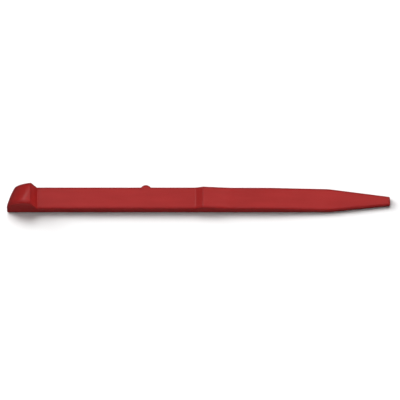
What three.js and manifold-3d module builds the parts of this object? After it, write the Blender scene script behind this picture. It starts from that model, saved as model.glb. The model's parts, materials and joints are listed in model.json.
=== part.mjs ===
// The toothpick that slides into the handle scale of a pocket knife: one moulding, in one piece.
// It has a raised head with a fingernail lip, a shank with a friction nub, and a tapered blade.
// Millimetres, +Z up. +X runs from the head to the tip, and +Y points to the edge with the nub.
// The origin is on the flat underside, half-way along, midway between the two long edges.

import * as THREE from 'three';
import { mergeVertices } from 'three/addons/utils/BufferGeometryUtils.js';
import Module from 'manifold-3d';

const wasm = await Module();
wasm.setup();

// The moulding as a whole
const LENGTH = 50;
const WIDTH = 3.0;
const THICKNESS = 1.5;
const EDGE_RADIUS = 0.25;
const UNDER_EDGE_RADIUS = 0.15;
const HEAD_EDGE_RADIUS = 0.4;

// The head. Its end is an arc in plan, so its front corner is furthest from the tip.
const HEAD_END = -LENGTH / 2;
const END_ARC_RADIUS = 10;
const END_ARC_CENTRE_Y = -3.4;
const HEAD_HEIGHT = 3.36;
const HEAD_ARC_RADIUS = 2.55;
const HEAD_APEX = 2.42;
const HEAD_TWIST = 0.19;

// The fingernail lip: its crest and its steep face are straight across the head.
const LIP = HEAD_END + 3.2;
const LIP_FACE_SLOPE = Math.tan(THREE.MathUtils.degToRad(68));
const CREST_BLEND = 0.2;
const LIP_FILLET_BLEND = 0.2;
const SHANK_START = HEAD_END + 4.3;

// The friction nub on the +Y edge
const NUB = HEAD_END + 18.15;
const NUB_RADIUS = 0.75;
const NUB_HEIGHT = 0.35;

// The step in thickness, half-way along, and the swell that falls away behind it
const STEP_START = HEAD_END + 24.65;
const STEP_END = HEAD_END + 25.6;
const STEP_HEIGHT = 0.35;
const SWELL_END = HEAD_END + 29.2;
const STEP_BLEND = 0.04;

// The blade is level, thins to the shoulder, and then narrows to the tip, which lies a little
// nearer to the plain edge.
const BLADE_THICKNESS = 1.42;
const THIN_START = HEAD_END + 34;
const THIN_BLEND = 0.06;
const SHOULDER = HEAD_END + 42;
const SHOULDER_THICKNESS = 0.95;
const SHOULDER_BLEND = 0.04;
const TIP = LENGTH / 2;
const TIP_WIDTH = 1.1;
const TIP_SHIFT = 0.1;
const TIP_THICKNESS = 0.8;
const TIP_CORNER_RADIUS = 0.2;

// Where the moulding is sectioned: each stretch's end, and the number of steps in it.
// The first section lies beyond the head's end, which is trimmed afterwards.
const OVERRUN = 0.05;
const STRETCHES = [
  [HEAD_END + 0.7, 7],
  [LIP - 0.3, 8],
  [SHANK_START, 16],
  [NUB - 0.8, 2],
  [NUB + 0.8, 16],
  [STEP_START - 0.1, 2],
  [STEP_START + 0.1, 4],
  [STEP_END - 0.1, 1],
  [STEP_END + 0.1, 4],
  [SWELL_END - 0.5, 2],
  [SWELL_END + 0.5, 5],
  [THIN_START - 0.8, 2],
  [THIN_START + 0.8, 4],
  [SHOULDER - 0.2, 3],
  [SHOULDER + 0.2, 4],
  [TIP - TIP_CORNER_RADIUS, 3],
  [TIP, 5],
];
const CORNER_STEPS = 2;
const TOP_STEPS = 8;
const END_STEPS = 32;
const MERGE_TOLERANCE = 1e-4;

const clamp = THREE.MathUtils.clamp;

// The lower of two heights, with their crossing rounded off over the given difference
function smoothMin(a, b, blend) {
  const overlap = Math.max(blend - Math.abs(a - b), 0) / blend;
  return Math.min(a, b) - (overlap * overlap * blend) / 4;
}

function smoothMax(a, b, blend) {
  return -smoothMin(-a, -b, blend);
}

// Plan outline

// How far the head's curved end lies from its arc's centre, along X
function endReach(y) {
  return Math.sqrt(END_ARC_RADIUS ** 2 - (y - END_ARC_CENTRE_Y) ** 2);
}

// How far the curved end lies from the plane of its front corner
function endInset(y) {
  return endReach(-WIDTH / 2) - endReach(clamp(y, -WIDTH / 2, WIDTH / 2));
}

function tipHalfWidth(x, side) {
  const along = (x - SHOULDER) / (TIP - SHOULDER);
  const taper = THREE.MathUtils.lerp(WIDTH / 2, TIP_WIDTH / 2 - side * TIP_SHIFT, along);
  const pastCorner = Math.max(x - (TIP - TIP_CORNER_RADIUS), 0);
  const cornerArc = Math.sqrt(Math.max(TIP_CORNER_RADIUS ** 2 - pastCorner ** 2, 0));
  return taper - TIP_CORNER_RADIUS + cornerArc;
}

function nubReach(x) {
  const arc = Math.sqrt(Math.max(NUB_RADIUS ** 2 - (x - NUB) ** 2, 0));
  return Math.max(arc - (NUB_RADIUS - NUB_HEIGHT), 0);
}

function halfWidth(x, side) {
  const straight = smoothMin(WIDTH / 2, tipHalfWidth(x, side), SHOULDER_BLEND);
  return side > 0 ? straight + nubReach(x) : straight;
}

// Side profile

// The head's top is one arc, which starts at the curved end and is followed as far as the lip.
// It climbs more slowly towards the edge with the nub.
function headTop(x, y) {
  const pace = 1 - HEAD_TWIST * (y / WIDTH + 0.5);
  const fromEnd = pace * clamp(x - HEAD_END - endInset(y), -OVERRUN, LIP - HEAD_END);
  const rise = Math.sqrt(HEAD_ARC_RADIUS ** 2 - (fromEnd - HEAD_APEX) ** 2);
  return HEAD_HEIGHT - HEAD_ARC_RADIUS + rise;
}

function lipFace(x) {
  return HEAD_HEIGHT - (x - LIP) * LIP_FACE_SLOPE;
}

// A straight line through two points of the side profile, given as [x, height]
function slope(x, [startX, startHeight], [endX, endHeight]) {
  return THREE.MathUtils.lerp(startHeight, endHeight, (x - startX) / (endX - startX));
}

// The shank is level up to the step. The blade falls from the top of the step, runs level, thins
// to the shoulder and thins again to the tip.
function bodyTop(x) {
  const stepTop = [STEP_END, THICKNESS + STEP_HEIGHT];
  const shoulderTop = [SHOULDER, SHOULDER_THICKNESS];
  if (x > SHOULDER) return slope(x, shoulderTop, [TIP, TIP_THICKNESS]);
  const thinning = slope(x, [THIN_START, BLADE_THICKNESS], shoulderTop);
  const level = smoothMin(BLADE_THICKNESS, thinning, THIN_BLEND);
  const swell = slope(x, stepTop, [SWELL_END, BLADE_THICKNESS]);
  const ramp = slope(x, [STEP_START, THICKNESS], stepTop);
  const stepped = smoothMin(ramp, smoothMax(swell, level, STEP_BLEND), STEP_BLEND);
  return x < STEP_END ? smoothMax(THICKNESS, stepped, STEP_BLEND) : stepped;
}

function topHeight(x, y) {
  const head = smoothMin(headTop(x, y), lipFace(x), CREST_BLEND);
  return smoothMax(head, bodyTop(x), LIP_FILLET_BLEND);
}

function topEdgeRadius(x) {
  const along = clamp((x - LIP) / (SHANK_START - LIP), 0, 1);
  return THREE.MathUtils.lerp(HEAD_EDGE_RADIUS, EDGE_RADIUS, along);
}

// The shank's section in the YZ plane, which every other section is reshaped from
function shankSection() {
  const half = WIDTH / 2;
  const low = UNDER_EDGE_RADIUS;
  const high = EDGE_RADIUS;
  const shape = new THREE.Shape();
  shape.absarc(half - low, low, low, -Math.PI / 2, 0);
  shape.absarc(half - high, THICKNESS - high, high, 0, Math.PI / 2);
  for (let i = 1; i < TOP_STEPS; i += 1) {
    shape.lineTo((half - high) * (1 - (2 * i) / TOP_STEPS), THICKNESS);
  }
  shape.absarc(high - half, THICKNESS - high, high, Math.PI / 2, Math.PI);
  shape.absarc(low - half, low, low, Math.PI, Math.PI * 1.5);
  shape.closePath();
  return shape;
}

// The x of each section, with the head's end overrun so that it can be trimmed
function stations() {
  const list = [HEAD_END - OVERRUN];
  for (const [end, steps] of STRETCHES) {
    const start = list[list.length - 1];
    for (let i = 1; i <= steps; i += 1) {
      list.push(THREE.MathUtils.lerp(start, end, i / steps));
    }
  }
  return list;
}

// Moves one vertex of the straight shank to its place on the moulding.
// The edges' radii are kept, and what is between them is stretched.
function reshape(vertex, station) {
  const side = Math.sign(vertex.y);
  const isTop = vertex.z > THICKNESS / 2;
  const radiusBefore = isTop ? EDGE_RADIUS : UNDER_EDGE_RADIUS;
  const radius = isTop ? topEdgeRadius(station) : UNDER_EDGE_RADIUS;
  const flatBefore = WIDTH / 2 - radiusBefore;
  const flat = halfWidth(station, side) - radius;
  const roundY = Math.max(Math.abs(vertex.y) - flatBefore, 0) / radiusBefore;
  const flatShare = Math.min(Math.abs(vertex.y) / flatBefore, 1);
  vertex.y = side * (flat * flatShare + radius * roundY);

  const skew = clamp((LIP - station) / (LIP - HEAD_END), 0, 1);
  vertex.x = station + skew * endInset(vertex.y);

  if (isTop) {
    const roundZ = (THICKNESS - vertex.z) / EDGE_RADIUS;
    vertex.z = topHeight(vertex.x, vertex.y) - radius * roundZ;
  }
}

function moulding() {
  const along = stations();
  const steps = along.length - 1;
  const options = { depth: steps, steps, curveSegments: CORNER_STEPS, bevelEnabled: false };
  const geometry = new THREE.ExtrudeGeometry(shankSection(), options);
  const position = geometry.attributes.position;
  const vertex = new THREE.Vector3();
  for (let i = 0; i < position.count; i += 1) {
    const station = along[Math.round(position.getZ(i))];
    vertex.set(station, position.getX(i), position.getY(i));
    reshape(vertex, station);
    position.setXYZ(i, vertex.x, vertex.y, vertex.z);
  }
  return geometry;
}

// A block that holds the whole moulding and ends in the head's arc, to trim the overrun with
function headTrim() {
  const margin = 2;
  const shape = new THREE.Shape();
  const centreX = HEAD_END + endReach(-WIDTH / 2);
  const turn = (y) => Math.PI - Math.asin((y - END_ARC_CENTRE_Y) / END_ARC_RADIUS);
  shape.absarc(centreX, END_ARC_CENTRE_Y, END_ARC_RADIUS, turn(WIDTH), turn(-WIDTH));
  shape.lineTo(TIP + margin, -WIDTH);
  shape.lineTo(TIP + margin, WIDTH);
  shape.closePath();
  const depth = HEAD_HEIGHT + 2 * margin;
  const options = { depth, curveSegments: END_STEPS, bevelEnabled: false };
  const block = new THREE.ExtrudeGeometry(shape, options);
  return block.translate(0, 0, -margin);
}

// Solids for cutting, and back again

function toSolid(geometry) {
  const bare = geometry.clone();
  bare.deleteAttribute('normal');
  bare.deleteAttribute('uv');
  const merged = mergeVertices(bare, MERGE_TOLERANCE);
  const vertProperties = new Float32Array(merged.attributes.position.array);
  const triVerts = new Uint32Array(merged.index.array);
  return new wasm.Manifold(new wasm.Mesh({ numProp: 3, vertProperties, triVerts }));
}

function toGeometry(solid) {
  const { vertProperties, triVerts } = solid.getMesh();
  const geometry = new THREE.BufferGeometry();
  geometry.setAttribute('position', new THREE.BufferAttribute(vertProperties, 3));
  geometry.setIndex(new THREE.BufferAttribute(triVerts, 1));
  geometry.computeVertexNormals();
  return geometry;
}

const redPlastic = new THREE.MeshStandardMaterial({
  color: 0xa53736,
  roughness: 0.45,
  metalness: 0,
});

const trimmed = toSolid(moulding()).intersect(toSolid(headTrim()));
const toothpick = new THREE.Mesh(toGeometry(trimmed), redPlastic);
toothpick.name = 'toothpick';

const part = new THREE.Group();
part.add(toothpick);

export default part;
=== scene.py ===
# The toothpick of a pocket knife: one satin red plastic moulding on a plain white floor.
# Metres, +Z up. +X runs from the head to the tip, and +Y points to the edge with the nub.

import json
import math

import bpy
import numpy as np
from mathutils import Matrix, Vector


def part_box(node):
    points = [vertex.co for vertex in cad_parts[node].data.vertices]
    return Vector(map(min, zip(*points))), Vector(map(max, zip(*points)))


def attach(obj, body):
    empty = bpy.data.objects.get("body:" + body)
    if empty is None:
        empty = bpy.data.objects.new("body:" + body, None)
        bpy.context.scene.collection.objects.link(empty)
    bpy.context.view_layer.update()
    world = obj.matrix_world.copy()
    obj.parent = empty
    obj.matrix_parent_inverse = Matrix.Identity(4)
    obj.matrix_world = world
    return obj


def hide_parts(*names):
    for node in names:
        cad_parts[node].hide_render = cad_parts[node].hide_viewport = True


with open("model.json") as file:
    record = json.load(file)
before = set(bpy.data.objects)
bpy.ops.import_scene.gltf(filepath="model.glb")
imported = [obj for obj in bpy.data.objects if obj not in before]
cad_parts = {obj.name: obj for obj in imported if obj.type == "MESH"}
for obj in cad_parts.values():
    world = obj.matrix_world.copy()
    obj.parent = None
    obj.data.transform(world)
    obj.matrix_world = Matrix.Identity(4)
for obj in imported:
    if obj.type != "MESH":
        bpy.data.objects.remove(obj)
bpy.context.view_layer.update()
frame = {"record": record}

MM = 0.001

low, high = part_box("toothpick")
mount = {m["name"]: Vector(m["pos_m"]) for m in frame["record"]["mounts"]}

# The moulding as a whole
HEAD_END = low.x
TIP = high.x
THICKNESS = mount["shank_top"].z
WIDTH = -2 * mount["plain_edge"].y
EDGE_RADIUS = 0.25 * MM
UNDER_EDGE_RADIUS = 0.15 * MM
HEAD_EDGE_RADIUS = 0.4 * MM
END_EDGE_RADIUS = 0.15 * MM
TOP_CROWN = 0.03 * MM

# The head. Its end is an arc in plan, so its front corner is furthest from the tip.
END_ARC_RADIUS = 10 * MM
END_ARC_CENTRE_Y = -3.4 * MM
HEAD_HEIGHT = high.z
HEAD_ARC_RADIUS = 2.55 * MM
HEAD_APEX = 2.42 * MM
HEAD_TWIST = 0.19

# The fingernail lip
LIP = HEAD_END + 3.2 * MM
LIP_FACE_SLOPE = math.tan(math.radians(68))
CREST_BLEND = 0.2 * MM
LIP_FILLET_BLEND = 0.2 * MM
SHANK_START = HEAD_END + 4.3 * MM

# The friction nub, with a small fillet at each foot
NUB = HEAD_END + 18.15 * MM
NUB_RADIUS = 0.75 * MM
NUB_HEIGHT = high.y - WIDTH / 2
NUB_FILLET_BLEND = 0.08 * MM

# The step in thickness, and the swell that falls away behind it
STEP_START = HEAD_END + 24.65 * MM
STEP_END = HEAD_END + 25.6 * MM
STEP_HEIGHT = 0.35 * MM
SWELL_END = HEAD_END + 29.2 * MM
STEP_BLEND = 0.04 * MM

# The blade is level, thins to the shoulder, and then narrows to the tip, which lies a little
# nearer to the plain edge.
BLADE_THICKNESS = 1.42 * MM
THIN_START = HEAD_END + 34 * MM
THIN_BLEND = 0.06 * MM
SHOULDER = HEAD_END + 42 * MM
SHOULDER_THICKNESS = 0.95 * MM
SHOULDER_BLEND = 0.04 * MM
TIP_WIDTH = 1.1 * MM
TIP_SHIFT = 0.1 * MM
TIP_THICKNESS = 0.8 * MM

# What the mould leaves: a fine ridge where its halves meet, the trimmed gate on the head's end,
# and the ejector pins' shallow round marks on the underside. The gate and the pins mark only
# points that face straight out of their own side, to a cosine of SQUARE_ON.
PARTING_HEIGHT = 0.28 * MM
PARTING_HALF_WIDTH = 0.03 * MM
PARTING_RIDGE = 0.02 * MM
ROWS_BELOW_PARTING = 0.3
GATE_Y = 0.15 * MM
GATE_Z = 0.72 * MM
GATE_RADIUS = 0.32 * MM
GATE_HEIGHT = 0.05 * MM
PINS = [HEAD_END + distance * MM for distance in (2.2, 15, 30, 39)]
PIN_RADIUS = 0.55 * MM
PIN_DEPTH = 0.025 * MM
PIN_EDGE = 0.12 * MM
SQUARE_ON = 0.99

# How finely the moulding is meshed. The head's arc ends just before the lip, and each stretch
# after it has its end and the length of a step in it. Margins keep fine steps round a feature.
PLAIN_STEP = 0.12 * MM
FINE_STEP = 0.04 * MM
LIP_STEP = 0.03 * MM
LIP_MARGIN = 0.35 * MM
NUB_MARGIN = 1.1 * MM
STEP_MARGIN = 0.15 * MM
SHOULDER_MARGIN = 0.2 * MM
ARC_END = LIP - LIP_MARGIN
STRETCHES = [
    (SHANK_START, LIP_STEP),
    (NUB - NUB_MARGIN, PLAIN_STEP),
    (NUB + NUB_MARGIN, FINE_STEP),
    (STEP_START - STEP_MARGIN, PLAIN_STEP),
    (STEP_END + STEP_MARGIN, FINE_STEP),
    (SHOULDER - SHOULDER_MARGIN, PLAIN_STEP),
    (SHOULDER + SHOULDER_MARGIN, FINE_STEP),
    (TIP - END_EDGE_RADIUS, PLAIN_STEP),
]
ARC_STEPS = 26
ROUND_STEPS = 5
STEPS_ACROSS = 26
ROWS_ABOVE_PARTING = 8

# Camera
ELEVATION = math.radians(68)
LENS = 300
SENSOR = 36
VIEW_WIDTH = 52.27 * MM
AIM = Vector((0.209, 0.226, 0.091)) * MM
NEAREST = 0.01
FURTHEST = 20

# The plastic's colours
DEEP_RED = (0.315, 0.014, 0.013, 1)
CLEAR_RED = (0.35, 0.017, 0.016, 1)
# Painted shade: a darker red for the rounded edges, standing in for their shade
EDGE_SHADE_RED = (0.26, 0.0125, 0.0125, 1)
SCUFFED_RED = (0.42, 0.05, 0.045, 1)
SCUFFED_SHARE = 0.12

# The plastic's patterns are noise: its scale along X, Y and Z, where a small one draws it out,
# its features per mm, its detail and its roughness. Below them are the spans of noise in which
# a pattern goes from nothing to full.
FLOW = ((0.22, 1.0, 1.0), 0.9, 3.0, 0.5)
GRAIN = ((1.0, 1.0, 1.0), 14.0, 1.0, 0.5)
PATCHES = ((1.0, 1.0, 1.0), 1.7, 4.0, 0.6)
DRAG = ((0.12, 5.5, 5.5), 1.6, 3.0, 0.65)
MIDDLE = (0.35, 0.65)
WIDE_MIDDLE = (0.3, 0.7)
DRAG_PEAKS = (0.6, 0.7)

# Where an edge begins to be painted darker as shade and rubbed smoother, and where this is full,
# in Blender's Pointiness. It is 0.5 on a flat, and this fine mesh reaches only a little more on
# its edges.
EDGE_SHADE_AND_WEAR_POINTINESS = (0.503, 0.511)
# The least share of the painted edge shade and the smoothing wear in a patch
LEAST_EDGE_SHADE_AND_WEAR = 0.5

# The plastic's gloss, and what each pattern does to its roughness and its relief. The patches
# make it rougher and smoother by the same amount.
ROUGHNESS = 0.34
PATCHES_ROUGHNESS = 0.05
GRAIN_ROUGHNESS = 0.05
DRAG_ROUGHNESS = 0.1
WORN_ROUGHNESS = -0.08
GRAIN_RELIEF = 0.35
DRAG_RELIEF = -0.2
FLOW_RELIEF = 1.2
BUMP_STRENGTH = 0.35
BUMP_DISTANCE = 0.006 * MM
IOR = 1.5
SPECULAR_LEVEL = 0.35

# Floor
FLOOR_HALF = 4.0
FLOOR_GAP = 0.01 * MM
FLOOR_WHITE = (0.94, 0.94, 0.94, 1)
FLOOR_ROUGHNESS = 0.9
FLOOR_SPECULAR_LEVEL = 0.1

# Lights: name, azimuth, elevation and angle in degrees, and strength. The floor lights light
# only the floor. The others light only the object, which shows the sheens only in its gloss.
WHITE = (1, 1, 1, 1)
ROOM_STRENGTH = 0.01
BACKDROP_STRENGTH = 1.0
FLOOR_LIGHTS = [
    ("floor_back", -5, 60, 36, 1.6),
    ("floor_key", -60, 33, 24, 1.1),
    ("floor_soft", -60, 38, 70, 1.7),
    ("floor_side", -85, 35, 70, 1.1),
]
LIGHTS = [
    ("right", 90, 62, 36, 2.8),
    ("left", -90, 62, 36, 0.8),
    ("low_left", -90, 32, 36, 0.4),
]
SHEENS = [
    ("left_sheen", -33, 63, 10, 0.28),
    ("right_sheen", 33, 63, 16, 0.15),
    ("front_sheen", 180, 75, 30, 0.35),
]


def smooth_min(a, b, blend):
    """The lower of two heights, with their crossing rounded off over the given difference"""
    overlap = np.maximum(blend - np.abs(a - b), 0) / blend
    return np.minimum(a, b) - overlap**2 * blend / 4


def smooth_max(a, b, blend):
    return -smooth_min(-a, -b, blend)


def lerp(a, b, share):
    return a + (b - a) * share


def smoothstep(start, end, value):
    share = np.clip((value - start) / (end - start), 0, 1)
    return share**2 * (3 - 2 * share)


# Plan outline


def end_reach(y):
    """How far the head's curved end lies from its arc's centre, along X"""
    return np.sqrt(END_ARC_RADIUS**2 - (y - END_ARC_CENTRE_Y) ** 2)


def end_inset(y):
    """How far the curved end lies from the plane of its front corner"""
    return end_reach(-WIDTH / 2) - end_reach(np.clip(y, -WIDTH / 2, WIDTH / 2))


def nub_reach(x):
    arc = np.sqrt(np.maximum(NUB_RADIUS**2 - (x - NUB) ** 2, 0))
    reach = smooth_max(arc - (NUB_RADIUS - NUB_HEIGHT), 0, NUB_FILLET_BLEND)
    return reach * (np.abs(x - NUB) < NUB_RADIUS)


def half_width(x, side):
    tip = TIP_WIDTH / 2 - np.sign(side) * TIP_SHIFT
    taper = lerp(WIDTH / 2, tip, (x - SHOULDER) / (TIP - SHOULDER))
    straight = smooth_min(WIDTH / 2, taper, SHOULDER_BLEND)
    return straight + np.where(side > 0, nub_reach(x), 0)


# Side profile


def head_top(x, y):
    """One arc, which starts at the curved end and is followed as far as the lip. It climbs more
    slowly towards the edge with the nub."""
    pace = 1 - HEAD_TWIST * (y / WIDTH + 0.5)
    from_end = pace * np.clip(x - HEAD_END - end_inset(y), 0, LIP - HEAD_END)
    rise = np.sqrt(HEAD_ARC_RADIUS**2 - (from_end - HEAD_APEX) ** 2)
    return HEAD_HEIGHT - HEAD_ARC_RADIUS + rise


def lip_face(x):
    return HEAD_HEIGHT - (x - LIP) * LIP_FACE_SLOPE


def slope(x, start, end):
    """A straight line through two points of the side profile, given as (x, height)"""
    return lerp(start[1], end[1], (x - start[0]) / (end[0] - start[0]))


def body_top(x):
    """The shank is level up to the step. The blade falls from the top of the step, runs level,
    thins to the shoulder and thins again to the tip."""
    step_top = (STEP_END, THICKNESS + STEP_HEIGHT)
    shoulder_top = (SHOULDER, SHOULDER_THICKNESS)
    thinning = slope(x, (THIN_START, BLADE_THICKNESS), shoulder_top)
    level = smooth_min(BLADE_THICKNESS, thinning, THIN_BLEND)
    swell = slope(x, step_top, (SWELL_END, BLADE_THICKNESS))
    ramp = slope(x, (STEP_START, THICKNESS), step_top)
    stepped = smooth_min(ramp, smooth_max(swell, level, STEP_BLEND), STEP_BLEND)
    before_step = smooth_max(THICKNESS, stepped, STEP_BLEND)
    point = slope(x, shoulder_top, (TIP, TIP_THICKNESS))
    blade = np.where(x > SHOULDER, point, stepped)
    return np.where(x < STEP_END, before_step, blade)


def top_height(x, y):
    head = smooth_min(head_top(x, y), lip_face(x), CREST_BLEND)
    crown = TOP_CROWN * (2 * y / WIDTH) ** 2
    return smooth_max(head, body_top(x), LIP_FILLET_BLEND) - crown


def top_edge_radius(x):
    along = np.clip((x - LIP) / (SHANK_START - LIP), 0, 1)
    return lerp(HEAD_EDGE_RADIUS, EDGE_RADIUS, along)


# The moulding's mesh: the skin of a box-shaped grid of points, with its edges rounded, moved to
# the profile. Each axis has cores, which place its flat stretch, and turns, from -1 to 1, which
# round the edges at both ends of it.


def with_turns(cores):
    """An axis of the box: its cores' places and turns, with the rounded edges' at both ends"""
    edge = np.tan(np.linspace(-math.pi / 4, 0, ROUND_STEPS + 1))[:-1]
    first = np.full(ROUND_STEPS, cores[0])
    last = np.full(ROUND_STEPS, cores[-1])
    places = np.concatenate([first, cores, last])
    turns = np.concatenate([edge, np.zeros(len(cores)), -edge[::-1]])
    return places, turns


def cores_along():
    """Places along X: even steps of angle round the head's arc, then the stretches' own steps"""
    apex = HEAD_END + HEAD_APEX
    arc_start = HEAD_END + END_EDGE_RADIUS
    angles = [math.asin((apex - x) / HEAD_ARC_RADIUS) for x in (arc_start, ARC_END)]
    places = [apex - HEAD_ARC_RADIUS * np.sin(np.linspace(*angles, ARC_STEPS + 1))]
    begin = ARC_END
    for end, step in STRETCHES:
        count = math.ceil((end - begin) / step)
        places.append(np.linspace(begin, end, count + 1)[1:])
        begin = end
    return np.concatenate(places)


def cores_up():
    """Shares of the side's height, with three rows for the parting ridge"""
    ridge = [PARTING_HEIGHT + offset * PARTING_HALF_WIDTH for offset in (-1, 0, 1)]
    rise = ridge[-1] - UNDER_EDGE_RADIUS
    below = [ROWS_BELOW_PARTING * (z - UNDER_EDGE_RADIUS) / rise for z in ridge]
    above = np.linspace(ROWS_BELOW_PARTING, 1, ROWS_ABOVE_PARTING + 1)[1:]
    return np.concatenate([[0], below, above])


def box_skin(counts):
    """The points on the skin of a grid of points, and the quads between them, facing out"""
    shell = np.zeros(counts, bool)
    for axis in range(3):
        np.moveaxis(shell, axis, 0)[[0, -1]] = True
    index = np.full(counts, -1)
    index[shell] = np.arange(shell.sum())
    quads = []
    for axis in range(3):
        for end in (0, -1):
            side = np.take(index, end, axis=axis)
            corners = [side[:-1, :-1], side[1:, :-1], side[1:, 1:], side[:-1, 1:]]
            faces = np.stack(corners, -1).reshape(-1, 4)
            faces_out = (axis == 1) == (end == 0)
            quads.append(faces if faces_out else faces[:, ::-1])
    return np.argwhere(shell), np.concatenate(quads)


def height_of_row(row, bottom, top):
    """Rows up to the parting ridge keep their heights, and those above it share what is left."""
    ridge_top = PARTING_HEIGHT + PARTING_HALF_WIDTH
    under = lerp(bottom, ridge_top, row / ROWS_BELOW_PARTING)
    over = lerp(ridge_top, top, (row - ROWS_BELOW_PARTING) / (1 - ROWS_BELOW_PARTING))
    return np.where(row < ROWS_BELOW_PARTING, under, over)


def mould_marks(x, y, z, outward, on_side):
    """Adds the parting ridge, the gate mark and the ejector pins' marks"""
    ridge = PARTING_RIDGE * np.isclose(z, PARTING_HEIGHT) * on_side
    gate_distance = np.hypot(y - GATE_Y, z - GATE_Z)
    gate = GATE_HEIGHT * smoothstep(GATE_RADIUS, GATE_RADIUS / 2, gate_distance)
    x = x + outward[:, 0] * ridge - gate * (outward[:, 0] < -SQUARE_ON)
    y = y + outward[:, 1] * ridge
    for pin in PINS:
        inside = smoothstep(PIN_RADIUS, PIN_RADIUS - PIN_EDGE, np.hypot(x - pin, y))
        z = z + PIN_DEPTH * inside * (outward[:, 2] < -SQUARE_ON)
    return x, y, z


def moulding_points(skin, axes):
    """Where each point of the box's skin lies on the moulding"""
    along, across, row = (places[skin[:, axis]] for axis, (places, _) in enumerate(axes))
    turns = np.stack([turned[skin[:, axis]] for axis, (_, turned) in enumerate(axes)], 1)
    outward = turns / np.linalg.norm(turns, axis=1, keepdims=True)

    station = along + END_EDGE_RADIUS * outward[:, 0]
    top_radius = top_edge_radius(station)
    radius = lerp(UNDER_EDGE_RADIUS, top_radius, row)
    side = across + turns[:, 1]
    y = (half_width(station, side) - radius) * across + radius * outward[:, 1]

    skew = np.clip((LIP - station) / (LIP - HEAD_END), 0, 1)
    x = station + skew * end_inset(y)

    top = top_height(x, y) - top_radius
    z = height_of_row(row, UNDER_EDGE_RADIUS, top) + radius * outward[:, 2]
    return np.stack(mould_marks(x, y, z, outward, turns[:, 2] == 0), 1)


def moulding():
    axes = [
        with_turns(cores_along()),
        with_turns(np.linspace(-1, 1, STEPS_ACROSS + 1)),
        with_turns(cores_up()),
    ]
    skin, quads = box_skin([len(places) for places, _ in axes])
    mesh = bpy.data.meshes.new("toothpick_moulding")
    mesh.from_pydata(moulding_points(skin, axes).tolist(), [], quads.tolist())
    mesh.polygons.foreach_set("use_smooth", [True] * len(mesh.polygons))
    mesh.update()
    piece = bpy.data.objects.new("toothpick_moulding", mesh)
    bpy.context.scene.collection.objects.link(piece)
    return piece


# Materials


def add_node(tree, kind, inputs=None, **settings):
    node = tree.nodes.new(kind)
    for name, value in settings.items():
        setattr(node, name, value)
    for name, value in (inputs or {}).items():
        if isinstance(value, bpy.types.NodeSocket):
            tree.links.new(value, node.inputs[name])
        else:
            node.inputs[name].default_value = value
    return node


def new_material(name):
    material = bpy.data.materials.new(name)
    material.use_nodes = True
    return material, material.node_tree, material.node_tree.nodes["Principled BSDF"]


def noise(tree, vector, axis_scales, scale, detail, roughness):
    """Noise over a vector in mm, with its own scale along each axis"""
    mapping = add_node(tree, "ShaderNodeMapping", {"Vector": vector, "Scale": axis_scales})
    inputs = {"Vector": mapping.outputs["Vector"], "Scale": scale}
    inputs |= {"Detail": detail, "Roughness": roughness}
    return add_node(tree, "ShaderNodeTexNoise", inputs).outputs["Fac"]


def ramp(tree, value, span, low_out=0.0, high_out=1.0):
    """Where the value lies in the span, as a number from low_out to high_out"""
    inputs = {"Value": value, "From Min": span[0], "From Max": span[1]}
    inputs |= {"To Min": low_out, "To Max": high_out}
    return add_node(tree, "ShaderNodeMapRange", inputs).outputs["Result"]


def add(tree, a, b):
    return add_node(tree, "ShaderNodeMath", {0: a, 1: b}, operation="ADD").outputs[0]


def multiply(tree, a, b):
    return add_node(tree, "ShaderNodeMath", {0: a, 1: b}, operation="MULTIPLY").outputs[0]


def mix_colour(tree, share, first, second):
    node = tree.nodes.new("ShaderNodeMix")
    node.data_type = "RGBA"
    tree.links.new(share, node.inputs["Factor"])
    for name, value in (("A", first), ("B", second)):
        socket = next(s for s in node.inputs if s.name == name and s.type == "RGBA")
        if isinstance(value, bpy.types.NodeSocket):
            tree.links.new(value, socket)
        else:
            socket.default_value = value
    return next(s for s in node.outputs if s.type == "RGBA")


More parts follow.
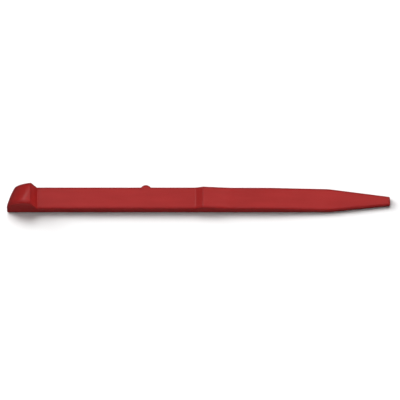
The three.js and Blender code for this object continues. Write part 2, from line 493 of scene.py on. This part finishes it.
def red_plastic():
    """Satin red plastic: flow mottling in the dye, fine mould texture, drag marks from sliding
    in and out of the handle, and edges painted a deeper red as shade and rubbed smoother"""
    material, tree, shader = new_material("red_plastic")
    place = add_node(tree, "ShaderNodeTexCoord").outputs["Object"]
    per_mm = (1 / MM, 1 / MM, 1 / MM)
    place = add_node(tree, "ShaderNodeMapping", {"Vector": place, "Scale": per_mm})
    place = place.outputs["Vector"]

    patterns = (FLOW, GRAIN, PATCHES, DRAG)
    flow, grain, patches, drag = (noise(tree, place, *pattern) for pattern in patterns)
    drag_marks = ramp(tree, drag, DRAG_PEAKS)
    edge = add_node(tree, "ShaderNodeNewGeometry").outputs["Pointiness"]
    # Painted shade on the rounded edges, in patches; the same mask makes them smoother as wear
    edge_share = ramp(tree, edge, EDGE_SHADE_AND_WEAR_POINTINESS)
    edge_shade_and_wear = multiply(tree, edge_share, ramp(tree, patches, MIDDLE, LEAST_EDGE_SHADE_AND_WEAR))

    dye = mix_colour(tree, ramp(tree, flow, MIDDLE), DEEP_RED, CLEAR_RED)
    # The edges are painted darker here as shade
    colour = mix_colour(tree, edge_shade_and_wear, dye, EDGE_SHADE_RED)
    scuffs = multiply(tree, drag_marks, SCUFFED_SHARE)
    colour = mix_colour(tree, scuffs, colour, SCUFFED_RED)
    tree.links.new(colour, shader.inputs["Base Color"])

    smoothest = ROUGHNESS - PATCHES_ROUGHNESS
    roughest = ROUGHNESS + PATCHES_ROUGHNESS
    dull = ramp(tree, patches, WIDE_MIDDLE, smoothest, roughest)
    dull = add(tree, dull, multiply(tree, grain, GRAIN_ROUGHNESS))
    dull = add(tree, dull, multiply(tree, drag_marks, DRAG_ROUGHNESS))
    dull = add(tree, dull, multiply(tree, edge_shade_and_wear, WORN_ROUGHNESS))
    tree.links.new(dull, shader.inputs["Roughness"])

    relief = multiply(tree, grain, GRAIN_RELIEF)
    relief = add(tree, relief, multiply(tree, drag_marks, DRAG_RELIEF))
    relief = add(tree, relief, multiply(tree, flow, FLOW_RELIEF))
    bump = {"Height": relief, "Strength": BUMP_STRENGTH, "Distance": BUMP_DISTANCE}
    bump = add_node(tree, "ShaderNodeBump", bump)
    tree.links.new(bump.outputs["Normal"], shader.inputs["Normal"])
    shader.inputs["IOR"].default_value = IOR
    shader.inputs["Specular IOR Level"].default_value = SPECULAR_LEVEL
    return material


def floor_white():
    material, _, shader = new_material("floor_white")
    shader.inputs["Base Color"].default_value = FLOOR_WHITE
    shader.inputs["Roughness"].default_value = FLOOR_ROUGHNESS
    shader.inputs["Specular IOR Level"].default_value = FLOOR_SPECULAR_LEVEL
    return material


# Stage


def floor():
    mesh = bpy.data.meshes.new("floor")
    corners = [(-1, -1), (1, -1), (1, 1), (-1, 1)]
    points = [(x * FLOOR_HALF, y * FLOOR_HALF, low.z - FLOOR_GAP) for x, y in corners]
    mesh.from_pydata(points, [], [(0, 1, 2, 3)])
    mesh.materials.append(floor_white())
    plane = bpy.data.objects.new("floor", mesh)
    bpy.context.scene.collection.objects.link(plane)
    plane.visible_glossy = False
    return plane


def sun(name, azimuth, elevation, angle, strength, receivers, shine):
    """A far, round, soft light. Azimuth 0 stands behind the object, and 90 on its right.
    It lights only its receivers. One with shine is only seen in their gloss."""
    light = bpy.data.lights.new(name, "SUN")
    light.energy = strength
    light.angle = math.radians(angle)
    lamp = bpy.data.objects.new(name, light)
    turn, rise = math.radians(azimuth), math.radians(elevation)
    flat = math.cos(rise)
    towards = Vector((flat * math.sin(turn), flat * math.cos(turn), math.sin(rise)))
    lamp.rotation_mode = "QUATERNION"
    lamp.rotation_quaternion = towards.to_track_quat("Z", "Y")
    lamp.location = towards
    lamp.visible_glossy = shine
    lamp.visible_diffuse = not shine
    lamp.light_linking.receiver_collection = receivers
    bpy.context.scene.collection.objects.link(lamp)


def surroundings():
    """A dim, even room to light the object, in front of a plain white backdrop"""
    world = bpy.data.worlds.new("room")
    world.use_nodes = True
    tree = world.node_tree
    tree.nodes.clear()
    room, backdrop = (
        add_node(tree, "ShaderNodeBackground", {"Color": WHITE, "Strength": strength})
        for strength in (ROOM_STRENGTH, BACKDROP_STRENGTH)
    )
    seen = add_node(tree, "ShaderNodeLightPath").outputs["Is Camera Ray"]
    mix = tree.nodes.new("ShaderNodeMixShader")
    tree.links.new(seen, mix.inputs[0])
    tree.links.new(room.outputs[0], mix.inputs[1])
    tree.links.new(backdrop.outputs[0], mix.inputs[2])
    output = tree.nodes.new("ShaderNodeOutputWorld")
    tree.links.new(mix.outputs[0], output.inputs["Surface"])
    bpy.context.scene.world = world


def lights(subject, ground):
    for receiver, table, shine in (
        (ground, FLOOR_LIGHTS, False),
        (subject, LIGHTS, False),
        (subject, SHEENS, True),
    ):
        receivers = bpy.data.collections.new(f"lit_{receiver.name}")
        receivers.objects.link(receiver)
        for light in table:
            sun(*light, receivers, shine)


def camera():
    data = bpy.data.cameras.new("camera")
    data.lens = LENS
    data.sensor_width = SENSOR
    data.clip_start = NEAREST
    data.clip_end = FURTHEST
    back = Vector((0, -math.cos(ELEVATION), math.sin(ELEVATION)))
    rig = bpy.data.objects.new("camera", data)
    rig.location = AIM + back * (VIEW_WIDTH * LENS / SENSOR)
    rig.rotation_mode = "QUATERNION"
    rig.rotation_quaternion = (-back).to_track_quat("-Z", "Y")
    bpy.context.scene.collection.objects.link(rig)
    bpy.context.scene.camera = rig


camera()
surroundings()
bpy.context.scene.view_settings.view_transform = "Standard"

toothpick = moulding()
toothpick.data.materials.append(red_plastic())
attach(toothpick, "root")
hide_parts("toothpick")
lights(toothpick, floor())
